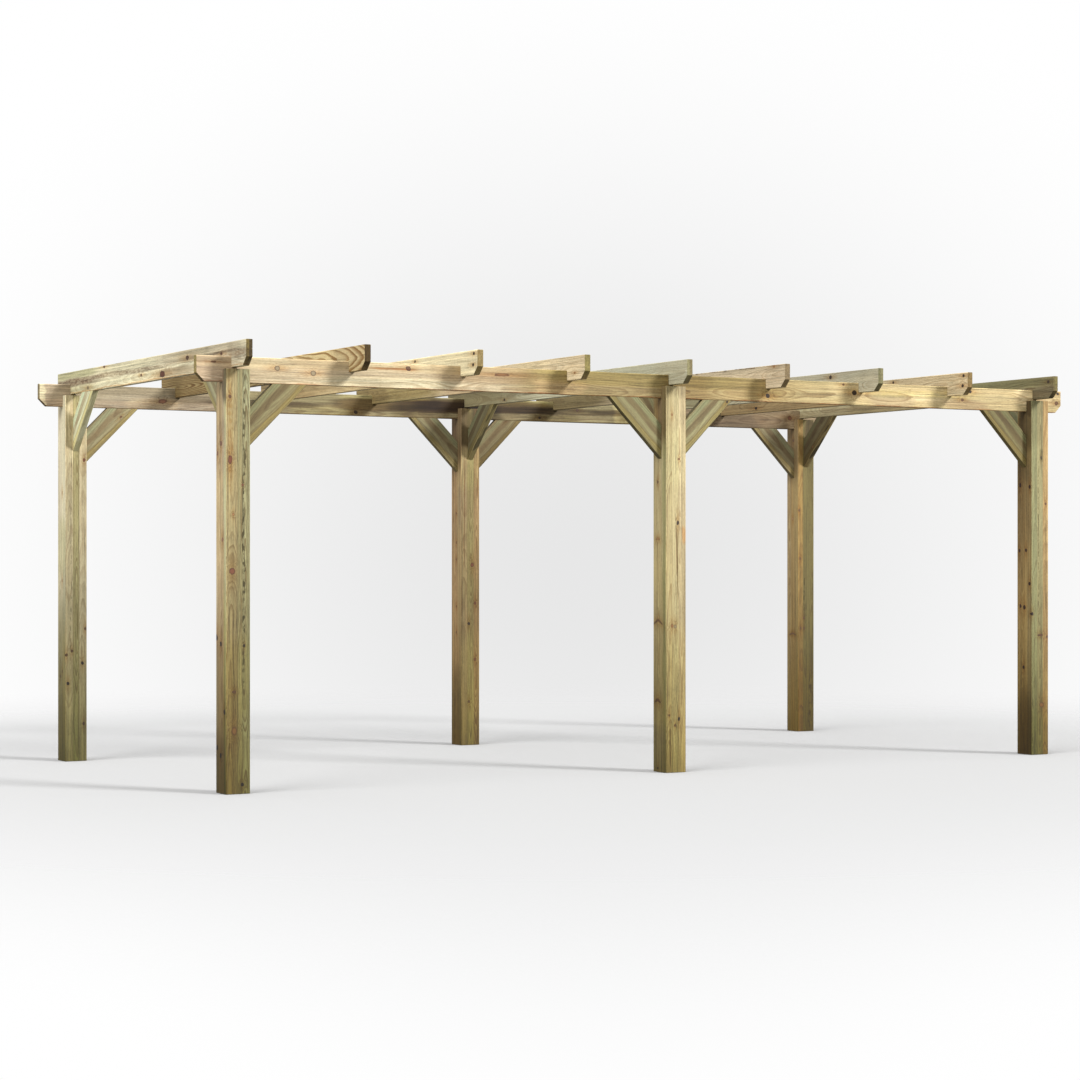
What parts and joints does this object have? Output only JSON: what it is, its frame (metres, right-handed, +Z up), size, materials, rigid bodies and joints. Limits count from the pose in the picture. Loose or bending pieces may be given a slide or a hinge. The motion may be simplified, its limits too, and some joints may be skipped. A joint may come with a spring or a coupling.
{
  "type": "timber pergola",
  "caption": "Free-standing garden pergola: square posts with slotted heads carry long beams, notched rafters with cut ends cross them, and diagonal braces stiffen the corners.",
  "frame": {"origin": "on the ground under the middle of the pergola", "axes": "+X along the two long beams, +Y from the front row of posts to the rear row, +Z up"},
  "size_m": [6.04, 3.022, 2.44],
  "materials": {
    "post_timber": "planed, pressure-treated softwood, matt, with green-brown treatment tint",
    "beam_timber": "planed, pressure-treated softwood, matt, warm tan",
    "rafter_timber": "planed, pressure-treated softwood, matt, each board a different tan to grey-green",
    "brace_timber": "planed, pressure-treated softwood, matt, greener than the rest"
  },
  "bodies": {
    "root": {"front_left_post": "post_timber", "front_middle_post": "post_timber", "front_right_post": "post_timber", "rear_left_post": "post_timber", "rear_middle_post": "post_timber", "rear_right_post": "post_timber", "front_beam": "beam_timber", "rear_beam": "beam_timber", "rafter_1": "rafter_timber", "rafter_2": "rafter_timber", "rafter_3": "rafter_timber", "rafter_4": "rafter_timber", "rafter_5": "rafter_timber", "rafter_6": "rafter_timber", "rafter_7": "rafter_timber", "rafter_8": "rafter_timber", "rafter_9": "rafter_timber", "front_left_beam_brace": "brace_timber", "front_middle_left_beam_brace": "brace_timber", "front_middle_right_beam_brace": "brace_timber", "front_right_beam_brace": "brace_timber", "rear_left_beam_brace": "brace_timber", "rear_middle_left_beam_brace": "brace_timber", "rear_middle_right_beam_brace": "brace_timber", "rear_right_beam_brace": "brace_timber", "front_left_rafter_brace": "brace_timber", "front_middle_rafter_brace": "brace_timber", "front_right_rafter_brace": "brace_timber", "rear_left_rafter_brace": "brace_timber", "rear_middle_rafter_brace": "brace_timber", "rear_right_rafter_brace": "brace_timber"}
  },
  "joints": []
}
